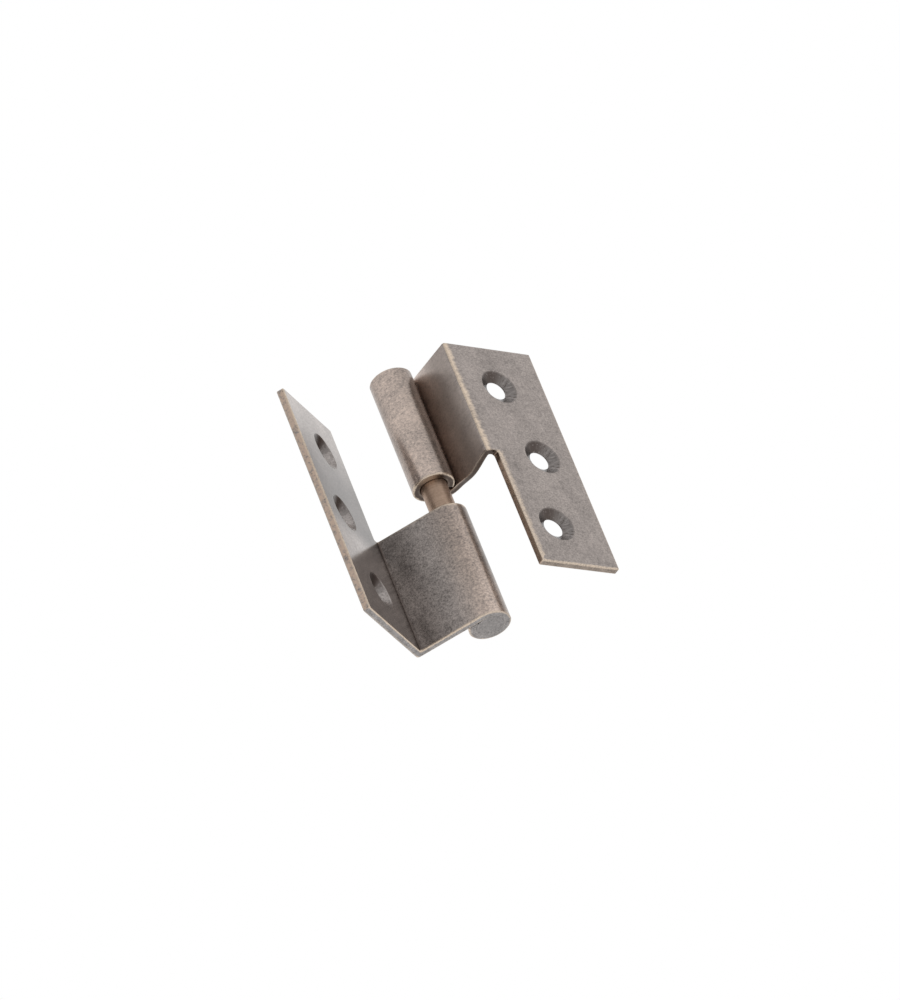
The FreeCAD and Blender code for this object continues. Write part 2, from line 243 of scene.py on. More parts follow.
class Graph:
    """A node tree that is written as expressions."""

    def __init__(self, tree: bpy.types.NodeTree) -> None:
        """Starts from an emptied tree."""
        self.tree = tree
        tree.nodes.clear()

    def node(self, kind: str, settings: dict | None = None, sockets: dict | None = None,
             out: int | str = 0) -> Value:
        """Adds one node.

        Args:
            kind: the node's type.
            settings: its properties, set before its sockets.
            sockets: a value or a link for each input, by name or number.
            out: the output that is returned.

        Returns:
            The wrapped output, or an empty wrapper where the node has none.
        """
        made = self.tree.nodes.new(kind)
        for name, value in (settings or {}).items():
            setattr(made, name, value)
        for name, value in (sockets or {}).items():
            socket = made.inputs[name]
            if isinstance(value, Value):
                self.tree.links.new(value.socket, socket)
            else:
                socket.default_value = value
        return Value(self, made.outputs[out] if len(made.outputs) else None)

    def outputs(self, kind: str) -> dict[str, Value]:
        """Adds a node without inputs and gives its outputs by name."""
        made = self.node(kind).socket.node
        return {socket.name: Value(self, socket) for socket in made.outputs if socket.name}

    def parts(self, vector: Value) -> tuple[Value, Value, Value]:
        """Splits a vector into its three numbers."""
        first = self.node("ShaderNodeSeparateXYZ", None, {0: vector})
        return tuple(Value(self, first.socket.node.outputs[i]) for i in range(3))

    def vector(self, x: Link, y: Link, z: Link) -> Value:
        """Joins three numbers into a vector."""
        return self.node("ShaderNodeCombineXYZ", None, {0: x, 1: y, 2: z})

    def scaled(self, vector: Value, factors: Triple) -> Value:
        """Multiplies a vector by three factors."""
        return self.node("ShaderNodeVectorMath", {"operation": "MULTIPLY"}, {0: vector, 1: factors})

    def times(self, colour: Link, factor: Value) -> Value:
        """Multiplies a colour by one factor."""
        return self.node("ShaderNodeVectorMath", {"operation": "SCALE"}, {0: colour, "Scale": factor})

    def noise(self, vector: Value, texture: Texture) -> Value:
        """Adds a noise, which is mostly from 0.3 to 0.7."""
        sockets = {
            "Vector": vector, "Scale": texture.scale, "Detail": texture.detail, "Roughness": texture.rough,
            "Distortion": texture.distortion,
        }
        return self.node("ShaderNodeTexNoise", {"noise_dimensions": "3D"}, sockets)

    def mix(self, factor: Link, first: Link, second: Link, blend: str = "MIX") -> Value:
        """Mixes two colours.

        Args:
            factor: share of the second one.
            first: a colour.
            second: another colour.
            blend: the Mix node's blend type.

        Returns:
            The mixed colour.
        """
        settings = {"data_type": "RGBA", "blend_type": blend, "clamp_factor": True}
        return self.node("ShaderNodeMix", settings, {0: factor, 6: full(first), 7: full(second)}, out=2)

    def attribute(self, name: str) -> Value:
        """Reads a vector attribute of the mesh in a material."""
        return self.node("ShaderNodeAttribute", {"attribute_name": name}, None, "Vector")

    def metal(self, colour: Value, rough: Value, metallic: float, bumps: Value, bump: Span) -> None:
        """Ends a material as bumpy metal.

        Args:
            colour: its base colour.
            rough: its roughness.
            metallic: its metallic share.
            bumps: height of its bumps.
            bump: the bumps' strength, and their depth in millimetres.
        """
        strength, deep = bump
        sockets = {"Strength": strength, "Distance": deep * MM, "Height": bumps}
        shader = self.node("ShaderNodeBsdfPrincipled", None, {
            "Base Color": colour, "Roughness": rough, "Metallic": metallic,
            "Normal": self.node("ShaderNodeBump", None, sockets),
        })
        self.node("ShaderNodeOutputMaterial", None, {"Surface": shader})


def full(colour: Link) -> Link:
    """Gives a written colour its fourth number."""
    return (*colour, 1.0) if isinstance(colour, tuple) and len(colour) == 3 else colour


def new_material(name: str) -> tuple[bpy.types.Material, Graph]:
    """Adds a material and starts its graph.

    Args:
        name: the material's name.

    Returns:
        The material, and its emptied graph.
    """
    material = bpy.data.materials.new(name)
    material.use_nodes = True
    return material, Graph(material.node_tree)


def placed(name: str, data: bpy.types.ID) -> bpy.types.Object:
    """Adds an object to the scene.

    Args:
        name: the object's name.
        data: its mesh, light or camera.

    Returns:
        The object.
    """
    made = bpy.data.objects.new(name, data)
    bpy.context.scene.collection.objects.link(made)
    return made


def dress(piece: bpy.types.Object, node: str) -> None:
    """Puts a finished piece on its body in place of the CAD node.

    Args:
        piece: the finished piece.
        node: the CAD node that it replaces and rides with.
    """
    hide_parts(node)
    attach(piece, node)
    LOG.info("%s: %d faces", piece.name, len(piece.data.polygons))


@dataclass(frozen=True)
class LeafFinish:
    """Worn bronze patina over sheet steel, in the blank's own coordinates.

    The front is a band along the roll with a painted highlight, or with a painted dark reflection
    where its gain is below 0.
    Spans are where a layer starts and ends: heights for the stretches of flap and foot, and distances
    from the fold, the web's end or an arris for the others.
    """

    name: str
    fold: "Bend"
    web_end: float
    sunk_face: Face
    flap: Zone
    web: Zone
    roll: Zone
    brushing: float
    # front_run, front_gain, front_width and front_core place the painted highlight or painted dark
    # reflection along the roll.
    front_run: float
    front_gain: float
    front_width: float
    # Direction of the countersinks' painted shade; sink_shine is the strength of their painted glints
    # opposite it.
    sink_shade: Span
    sink_shine: float = 0.0
    # Levels of the flap's painted reflection: at the foot, through the shaded middle and at the top.
    flap_tones: Triple = (1.0, 1.0, 1.0)
    # How much brighter the roll grows towards its lower end.
    rubbed_foot: float = 0.0
    # Gain of the painted light on the web's bore face, away from the fold's corner.
    inner_web: float = 0.0
    # Strength of the painted highlight on the roll rim's cut faces along the front band.
    touched_rim: float = 0.0
    dark: Colour = (0.130, 0.116, 0.110)
    light: Colour = (0.420, 0.382, 0.364)
    warm: Colour = (1.0, 0.90, 0.82)
    bright: Colour = (0.680, 0.560, 0.445)
    tan: Colour = (0.560, 0.435, 0.352)
    # Soot in the crease and on cut faces, also the colour of painted shade in countersinks and on walls.
    soot: Colour = (0.046, 0.029, 0.022)
    pit: Colour = (0.205, 0.188, 0.181)
    cut: Colour = (0.270, 0.253, 0.246)
    fine: Texture = Texture(2.6, 2.0, 0.6)
    grain: Texture = Texture(1.0, 4.0, 0.65, 0.3)
    patch: Texture = Texture(0.38, 2.0, 0.5, 0.4)
    cloud: Texture = Texture(0.13)
    stroke: Texture = Texture(1.0, 3.0, 0.6, 1.8)
    stroke_pull: Triple = (0.7, 1.5, 1.0)
    turning: Texture = Texture(1.0, 3.0, 0.7)
    turning_pull: Triple = (3.2, 3.2, 0.8)
    # Heights where the flap's painted shade and painted light start and end.
    dark_stretch: Span = (0.36 * SIZES.flap, 0.47 * SIZES.flap)
    pale_stretch: Span = (0.60 * SIZES.flap, SIZES.flap)
    foot_stretch: Span = (0.28 * SIZES.flap, 0.02 * SIZES.flap)
    inner_stretch: Span = (2.0, 11.0)
    roll_blend: Span = (-6.0, 3.0)
    face_blend: Span = (-0.3, 0.3)
    front_core: float = 0.5
    line_reach: Span = (0.02, 0.30)
    fold_start: Span = (-0.80, -0.14)
    fold_stop: Span = (0.04, 0.14)
    fold_depth: Span = (0.4, 0.7)
    crease_reach: Span = (0.3, 1.7)
    crease_soot: float = 0.8
    bump: Span = (0.25, 0.03)

    def make(self) -> bpy.types.Material:
        """Builds the material, which reads the blank's attributes.

        Returns:
            The material.
        """
        material, g = new_material(self.name)
        LeafCoat(self, g).build()
        return material


class LeafCoat:
    """The layers of one leaf's material, mixed from the blank's attributes and from noises."""

    def __init__(self, finish: LeafFinish, g: Graph) -> None:
        """Reads the attributes and adds the noises.

        Args:
            finish: the leaf's finish.
            g: the material's graph.
        """
        self.finish, self.g = finish, g
        blank, self.polar = g.attribute("blank"), g.attribute("polar")
        self.run, self.height, self.depth = g.parts(blank)
        self.edge, self.line, cast = g.parts(g.attribute("edge"))
        self.sunk, self.wall, _ = g.parts(g.attribute("cut"))
        self.fine, self.grain = g.noise(blank, finish.fine), g.noise(blank, finish.grain)
        self.cloud, self.patch = g.noise(blank, finish.cloud), g.noise(blank, finish.patch)
        self.stroke = g.noise(g.scaled(blank, finish.stroke_pull), finish.stroke)
        self.turned = g.noise(g.scaled(self.polar, finish.turning_pull), finish.turning)
        self.stir = (self.grain - 0.5) * 0.5
        self.past = self.run - finish.fold.middle
        self.shown = self.depth * float(finish.sunk_face.value)
        self.on_web = self.run.ramp(finish.fold.start, finish.fold.end)
        self.rolled = (self.run - finish.web_end).ramp(*finish.roll_blend)
        self.speckle = self.zoned("speckle")
        # Band along the roll: painted highlight, or painted dark reflection where the gain is below 0.
        from_front = (self.run - finish.front_run).size()
        self.front = from_front.ramp(finish.front_core, finish.front_width, 1.0, 0.0)
        # Painted highlight on the rim's cut faces along the front band; it also clears their dark tone and
        # roughens them.
        self.touched = self.front * finish.touched_rim
        # Bright cut faces: rubbed metal, and a painted highlight on walls that lie in shade.
        self.rubbed = cast.larger(0.0) * self.shown.ramp(-0.9, 0.9, 0.75, 1.15)
        # Dark cut faces: soot, and painted shade on the roll's lower end face.
        self.black = self.wall * (cast * -1.0).larger(0.0) * (1.0 - self.touched)

    def zoned(self, key: str) -> Value:
        """Blends one number of the three zones along the run.

        Args:
            key: the zone's field.

        Returns:
            The blended number.
        """
        zones = (self.finish.flap, self.finish.web, self.finish.roll)
        flap, web, roll = (getattr(zone, key) for zone in zones)
        return self.on_web * (web - flap) + self.rolled * (roll - web) + flap

    def level(self) -> Value:
        """Gives the brightness of the patina by zone, with painted light and shade on top.
        The flap gets a painted shaded middle and a lit top, the front band a painted highlight, or a
        painted dark reflection where its gain is below 0, and the web's bore face painted light away from
        the fold.
        It also grows brighter towards the roll's lower end.

        Returns:
            The factor for the patina's colour.
        """
        f = self.finish
        low, middle, high = f.flap_tones
        # Painted reflection on the flap: darker through the middle and lighter towards the top.
        light_levels = self.height.ramp(*f.dark_stretch, low, middle)
        light_levels = light_levels + self.height.ramp(*f.pale_stretch, 0.0, high - middle)
        flap = (light_levels - 1.0) * self.shown.ramp(*f.face_blend) * (1.0 - self.on_web)
        # Brighter towards the roll's lower end.
        foot = self.rolled * self.height.ramp(*f.foot_stretch, 0.0, f.rubbed_foot)
        # Painted shade: the web's bore face darker near the fold's corner and brighter away from it.
        inner = (self.run - f.fold.end).ramp(*f.inner_stretch, 0.0, f.inner_web)
        inner = inner * (1.0 - self.rolled) * self.depth.ramp(*f.face_blend)
        # The front band adds a painted highlight, or a painted dark reflection where its gain is below 0.
        return self.zoned("level") * (flap + foot + inner + self.front * f.front_gain + 1.0)

    def patina(self) -> Value:
        """Mixes the mottled patina of the faces.

        Returns:
            Its colour.
        """
        f, g = self.finish, self.g
        mottle = (self.fine - 0.5) * 2.3 + (self.grain - 0.5) + (self.patch - 0.5) * 0.5
        tone = mottle * self.speckle + (self.stroke - 0.5) * f.brushing + (self.cloud - 0.5) * 0.6 + 0.5
        tone = tone.larger(0.0).smaller(1.0)
        colour = g.mix(tone, f.dark, f.light)
        warmth = self.zoned("warmth") * (0.5 + tone)
        colour = g.mix(warmth, colour, g.mix(1.0, colour, f.warm, "MULTIPLY"))
        return g.times(colour, self.level())

    def cut_faces(self, colour: Value) -> Value:
        """Mixes in the cut faces round the outline: plain, bright with rubbed metal and painted highlight,
        or dark with soot and painted shade.

        Args:
            colour: what lies under them.

        Returns:
            The mixed colour.
        """
        f, g = self.finish, self.g
        spots = 1.5 * self.fine + 5.0 * self.grain + 1.5 * self.patch - 3.1
        colour = g.mix(self.wall, colour, g.times(f.cut, 2.0 * self.fine + self.patch - 0.5))
        colour = g.mix(self.wall * self.rubbed.larger(self.touched) * spots, colour, f.tan)
        colour = g.mix(self.wall * self.touched, colour, f.bright)
        return g.mix(self.black, colour, f.soot)

    def sinks(self, colour: Value) -> Value:
        """Mixes in the turned countersinks, with painted shade on one side and painted glints on the
        other.

        Args:
            colour: what lies under them.

        Returns:
            The mixed colour.
        """
        f, g = self.finish, self.g
        ahead, above, _ = g.parts(self.polar)
        # Which side of each countersink gets the painted shade; the other side gets painted glints.
        facing = ahead * f.sink_shade[0] + above * f.sink_shade[1]
        # Painted shade on one side, with dark turning marks all round.
        shaded = facing.ramp(-0.8, 2.4, 0.0, 0.75).larger(self.turned.ramp(0.47, 0.34, 0.0, 0.6))
        # Painted glints: scattered specks, and a patch on the side away from the shade.
        glint_specks = self.fine.ramp(0.54, 0.72) * self.grain.ramp(0.46, 0.64) * 0.7
        glint_patch = facing.ramp(0.1, -1.4, 0.0, f.sink_shine) * (5.0 * self.fine - 1.7).larger(0.0)
        lines = self.turned.ramp(0.54, 0.68) * 0.6
        layers = ((0.9, f.pit), (lines, f.light), (shaded, f.soot), (glint_specks, f.light), (glint_patch, f.light))
        for share, layer in layers:
            colour = g.mix(self.sunk * share, colour, layer)
        return colour

    def worn(self, colour: Value) -> Value:
        """Mixes in the fold's dark crease, and the bright metal of the arrises and of the fold's back.

        Args:
            colour: what lies under them.

        Returns:
            The mixed colour.
        """
        f, g = self.finish, self.g
        crease = (self.past.size() + self.stir * 2.8).ramp(*f.crease_reach, f.crease_soot, 0.0)
        crease = crease * (self.depth * -1.0).ramp(*f.fold_depth)
        edge = (self.edge + self.stir).ramp(*f.line_reach, 1.0, 0.0) * self.line
        start = (self.past + self.stir * 1.6 + (self.patch - 0.5) * 0.8).ramp(*f.fold_start)
        stop = (self.past + self.stir * 0.3).ramp(*f.fold_stop, 1.0, 0.0)
        fold = start * stop * self.depth.ramp(*f.fold_depth) * self.cloud.ramp(0.30, 0.60, 0.6, 1.1)
        colour = g.mix(crease, colour, f.soot)
        return g.mix(edge.larger(fold) * (2.2 * self.fine - 0.2), colour, f.bright)

    def build(self) -> None:
        """Joins the layers and ends the material."""
        f = self.finish
        colour = self.worn(self.sinks(self.cut_faces(self.patina())))
        rough = self.zoned("roughness") + (self.grain - 0.5) * 0.12 + self.sunk * 0.1 + self.black * 0.08
        rough = rough + self.wall * self.touched * 0.35
        bumps = (self.fine * 0.5 + self.grain) * self.speckle + self.stroke * (0.6 * f.brushing)
        self.g.metal(colour, rough, 1.0, bumps + self.turned * self.sunk, f.bump)


@dataclass(frozen=True)
class PinFinish:
    """Turned steel, browned by handling and oil, with a plain riveted foot."""

    name: str = "browned_pin_steel"
    dark: Colour = (0.300, 0.208, 0.152)
    light: Colour = (0.500, 0.365, 0.278)
    foot: Colour = (0.290, 0.272, 0.264)
    roughness: float = 0.44
    metallic: float = 0.95
    foot_reach: Span = (-31.4, -31.0)
    lines: Texture = Texture(1.0, 4.0, 0.7)
    lines_pull: Triple = (0.12, 0.12, 5.0)
    spots: Texture = Texture(1.6, 3.0, 0.6)
    grit: Texture = Texture(2.6, 2.0, 0.6)
    bump: Span = (0.4, 0.02)

    def make(self) -> bpy.types.Material:
        """Builds the material.

        Returns:
            A material on Object coordinates.
        """
        material, g = new_material(self.name)
        place = g.scaled(g.node("ShaderNodeTexCoord", None, None, "Object"), (1 / MM, 1 / MM, 1 / MM))
        lines = g.noise(g.scaled(place, self.lines_pull), self.lines)
        spots, grit = g.noise(place, self.spots), g.noise(place, self.grit)
        tone = ((lines - 0.5) * 1.9 + (spots - 0.5) * 1.2 + 0.5).larger(0.0).smaller(1.0)
        foot = g.parts(place)[2].ramp(*self.foot_reach, 1.0, 0.0)
        plain = g.times(self.foot, 2.0 * grit + spots - 0.5)
        colour = g.mix(foot, g.mix(tone, self.dark, self.light), plain)
        rough = self.roughness + (spots - 0.5) * 0.2
        g.metal(colour, rough, self.metallic, lines * (1.0 - foot) + spots * 0.6, self.bump)
        return material


@dataclass(frozen=True)
class Bend:
    """One bend of a leaf, by its place on the developed length. A positive radius turns to the bore."""

    ROUND = 2.0

    name: str
    start: float
    length: float
    radius: float
    sharpness: float = ROUND

    @classmethod
    def turning(cls, name: str, start: float, degrees: float, radius: float,
                sharpness: float = ROUND) -> "Bend":
        """Gives the bend its developed length from the angle that it turns.

        Args:
            name: the bend's name in the tree.
            start: where it starts on the developed length.
            degrees: the angle that it turns.
            radius: its radius at the middle of the sheet.
            sharpness: exponent of its convex face's section. At 2 that face is round.

        Returns:
            The bend.
        """
        return cls(name, start, math.radians(degrees) * abs(radius), radius, sharpness)

    @property
    def end(self) -> float:
        """Where the sheet runs straight again."""
        return self.start + self.length

    @property
    def middle(self) -> float:
        """Where half of the turn is made."""
        return self.start + 0.5 * self.length

    @property
    def pressed(self) -> bool:
        """Whether its convex face comes to an arris."""
        return self.sharpness > self.ROUND

    def angle(self, run: np.ndarray, depth: np.ndarray) -> np.ndarray:
        """How far the sheet's surface has turned at each run and depth, in radians.

        Args:
            run: run of each point.
            depth: depth of each point in the sheet.

        Returns:
            The angles.
        """
        turned = np.clip(run - self.start, 0.0, self.length) / self.radius
        power = self.sharpness - 1.0
        sine, cosine = np.abs(np.sin(turned)), np.maximum(np.cos(turned), 0.0)
        pressed = np.sign(turned) * np.arctan2(sine ** power, cosine ** power)
        return np.where(self.pressed & (depth * self.radius < 0.0), pressed, turned)


class FoldingTree:
    """Geometry Nodes that fold a flat blank at its bends and put it in the row frame."""

    BEND_SIZES = ("start", "length", "radius", "sharpness")

    def __init__(self, name: str, bends: list[Bend]) -> None:
        """Builds the tree with named inputs for each bend.

        Args:
            name: the tree's name.
            bends: the bends, in order from the free edge.
        """
        self.tree = bpy.data.node_groups.new(name, "GeometryNodeTree")
        self.ids: dict[str, str] = {}
        kinds = {f"{bend.name} {size}": "Float" for bend in bends for size in self.BEND_SIZES}
        kinds = {"Blank": "Geometry", **kinds, "Sheet": "Float", "Turn": "Float", "Place": "Vector"}
        for key, kind in {**kinds, "Finish": "Material"}.items():
            made = self.tree.interface.new_socket(key, in_out="INPUT", socket_type=f"NodeSocket{kind}")
            self.ids[key] = made.identifier
        self.tree.interface.new_socket("Leaf", in_out="OUTPUT", socket_type="NodeSocketGeometry")
        g = Graph(self.tree)
        given = g.outputs("NodeGroupInput")
        shape = given["Blank"]
        for bend in reversed(bends):
            sizes = {size: given[f"{bend.name} {size}"] for size in self.BEND_SIZES}
            if bend.pressed:
                shape = self.pressed(g, shape, sizes, given["Sheet"])
            shape = self.bent(g, shape, sizes)
        turn = g.vector(0.0, 0.0, given["Turn"])
        shape = g.node("GeometryNodeTransform", None, {
            "Geometry": shape, "Translation": given["Place"], "Rotation": turn, "Scale": (MM, MM, MM),
        })
        shape = g.node("GeometryNodeRealizeInstances", None, {"Geometry": shape})
        shape = g.node("GeometryNodeSetMaterial", None, {"Geometry": shape, "Material": given["Finish"]})
        g.node("NodeGroupOutput", None, {0: shape})

    def reached(self, g: Graph, sizes: dict[str, Value]) -> Value:
        """Gives the length of one bend that lies before each point of the blank."""
        flat = g.node("GeometryNodeInputNamedAttribute", {"data_type": "FLOAT_VECTOR"}, {"Name": "blank"})
        return (g.parts(flat)[0] - sizes["start"]).larger(0.0).smaller(sizes["length"])

    def pressed(self, g: Graph, shape: Value, sizes: dict[str, Value], sheet: Value) -> Value:
        """Thickens the sheet in a bend to the outside, so that its convex face comes to an arris.

        Args:
            g: the tree's graph.
            shape: geometry whose later bends are made.
            sizes: the bend's inputs. Its radius has to be negative.
            sheet: the sheet's thickness.

        Returns:
            The geometry with the thicker bend, still flat.
        """
        radius, sharpness = sizes["radius"], sizes["sharpness"]
        x, y, z = g.parts(g.node("GeometryNodeInputPosition"))
        angle = self.reached(g, sizes) / radius
        sine, cosine = angle.math("SINE").size(), angle.math("COSINE").larger(0.0)
        reach = (sine ** sharpness + cosine ** sharpness) ** (-1.0 / sharpness)
        half = sheet * 0.5
        share = (y + half) / sheet
        depth = share * ((half - radius) * reach + radius + half) - half
        place = g.vector(x, depth, z)
        return g.node("GeometryNodeSetPosition", None, {"Geometry": shape, "Position": place})

    def bent(self, g: Graph, shape: Value, sizes: dict[str, Value]) -> Value:
        """Turns what lies past one bend.

        Args:
            g: the tree's graph.
            shape: geometry whose later bends are made.
            sizes: the bend's inputs. Its radius is positive towards the bore.

        Returns:
            The geometry with this bend made.
        """
        start, radius = sizes["start"], sizes["radius"]
        x, y, z = g.parts(g.node("GeometryNodeInputPosition"))
        bent = self.reached(g, sizes)
        angle = bent / radius
        sine, cosine = angle.math("SINE"), angle.math("COSINE")
        past = x - (start + bent)
        ahead = start + radius * sine + cosine * past - sine * y
        aside = radius * (1.0 - cosine) + sine * past + cosine * y
        place = g.vector(ahead, aside, z)
        return g.node("GeometryNodeSetPosition", None, {"Geometry": shape, "Position": place})


class Blank:
    """Points, faces and attributes of a flat blank, gathered ring by ring.

    The attribute edge holds the distance from the arris, the strength of its bright line and the cut
    face's tone. The attribute cut holds the shares of countersink and of cut face. The attribute polar
    holds a countersink's turn and radius.
    """

    FAR = 4.0
    PLAIN = {"edge": (FAR, 0.0, 0.0), "cut": (0.0, 0.0, 0.0), "polar": (0.0, 0.0, 0.0)}

    def __init__(self) -> None:
        """Starts empty."""
        self.points: list[np.ndarray] = []
        self.normals: list[np.ndarray] = []
        self.marks: dict[str, list[np.ndarray]] = {name: [] for name in self.PLAIN}
        self.faces: list[tuple[int, ...]] = []
        self.count = 0

    def add(self, flat: np.ndarray, depth: float, normals: np.ndarray, **marks: tuple) -> np.ndarray:
        """Adds points at one depth in the sheet.

        Args:
            flat: run and height of each point.
            depth: distance from the sheet's middle.
            normals: run, height and depth parts of each normal.
            marks: three columns of an attribute, each for every point or one for all.

        Returns:
            The points' numbers.
        """
        total = len(flat)
        self.points.append(np.column_stack([flat, np.full(total, depth)]))
        self.normals.append(normals)
        for name, plain in self.PLAIN.items():
            columns = [np.broadcast_to(np.asarray(c, float), (total,)) for c in marks.get(name, plain)]
            self.marks[name].append(np.column_stack(columns))
        first = self.count
        self.count += total
        return np.arange(first, self.count)

    def strip(self, upper: np.ndarray, lower: np.ndarray) -> None:
        """Joins two closed rings of equal length with quads, upper ring to the bore side."""
        quads = zip(upper, np.roll(upper, -1), np.roll(lower, -1), lower)
        self.faces += [tuple(map(int, quad)) for quad in quads]

    def mesh(self, name: str) -> bpy.types.Mesh:
        """Makes the flat mesh, with the blank's coordinates and marks as attributes.

        Args:
            name: the mesh's name.

        Returns:
            The mesh.
        """
        points = np.concatenate(self.points)
        mesh = bpy.data.meshes.new(name)
        mesh.from_pydata(points[:, [0, 2, 1]].tolist(), [], self.faces, shade_flat=False)
        columns = {key: np.concatenate(values) for key, values in self.marks.items()}
        for key, values in {"blank": points, **columns}.items():
            layer = mesh.attributes.new(key, "FLOAT_VECTOR", "POINT")
            layer.data.foreach_set("vector", values.astype(np.float32).ravel())
        return mesh


def nearest(points: np.ndarray, loop: np.ndarray) -> np.ndarray:
    """Finds the number of the loop's corner that is nearest to each point."""
    chunks = np.array_split(points, 16)
    return np.concatenate([np.argmin(((c[:, None] - loop[None]) ** 2).sum(2), axis=1) for c in chunks])


def from_outline(points: np.ndarray, loop: np.ndarray) -> np.ndarray:
    """Measures points from a closed line.

    Args:
        points: the points.
        loop: the line's corners in order.

    Returns:
        Each point's shortest distance.
    """
    along = np.roll(loop, -1, axis=0) - loop
    best = np.full(len(points), np.inf)
    for origin, step, square in zip(loop, along, (along ** 2).sum(1)):
        share = np.clip(((points - origin) @ step) / square, 0.0, 1.0)
        best = np.minimum(best, np.hypot(*(points - origin - share[:, None] * step).T))
    return best


def outward(loop: np.ndarray) -> np.ndarray:
    """Gives each corner of an anticlockwise loop its mitred outward direction.

    Args:
        loop: the corners in order.

    Returns:
        The directions, which reach a line at a distance of 1 outside the loop.
    """
    before = loop - np.roll(loop, 1, axis=0)
    after = np.roll(loop, -1, axis=0) - loop
    sides = [np.column_stack([s[:, 1], -s[:, 0]]) / np.hypot(*s.T)[:, None] for s in (before, after)]
    middle = sides[0] + sides[1]
    return middle / (middle * sides[0]).sum(1)[:, None]


def spaced(start: float, stop: float, pitch: float) -> np.ndarray:
    """Divides a stretch evenly at about a pitch, without its first point."""
    steps = max(1, round(abs(stop - start) / pitch))
    return np.linspace(start, stop, steps + 1)[1:]


def spokes(count: int) -> np.ndarray:
    """Gives the directions round a circle, clockwise."""
    turns = -2.0 * math.pi * np.arange(count) / count
    return np.column_stack([np.cos(turns), np.sin(turns)])


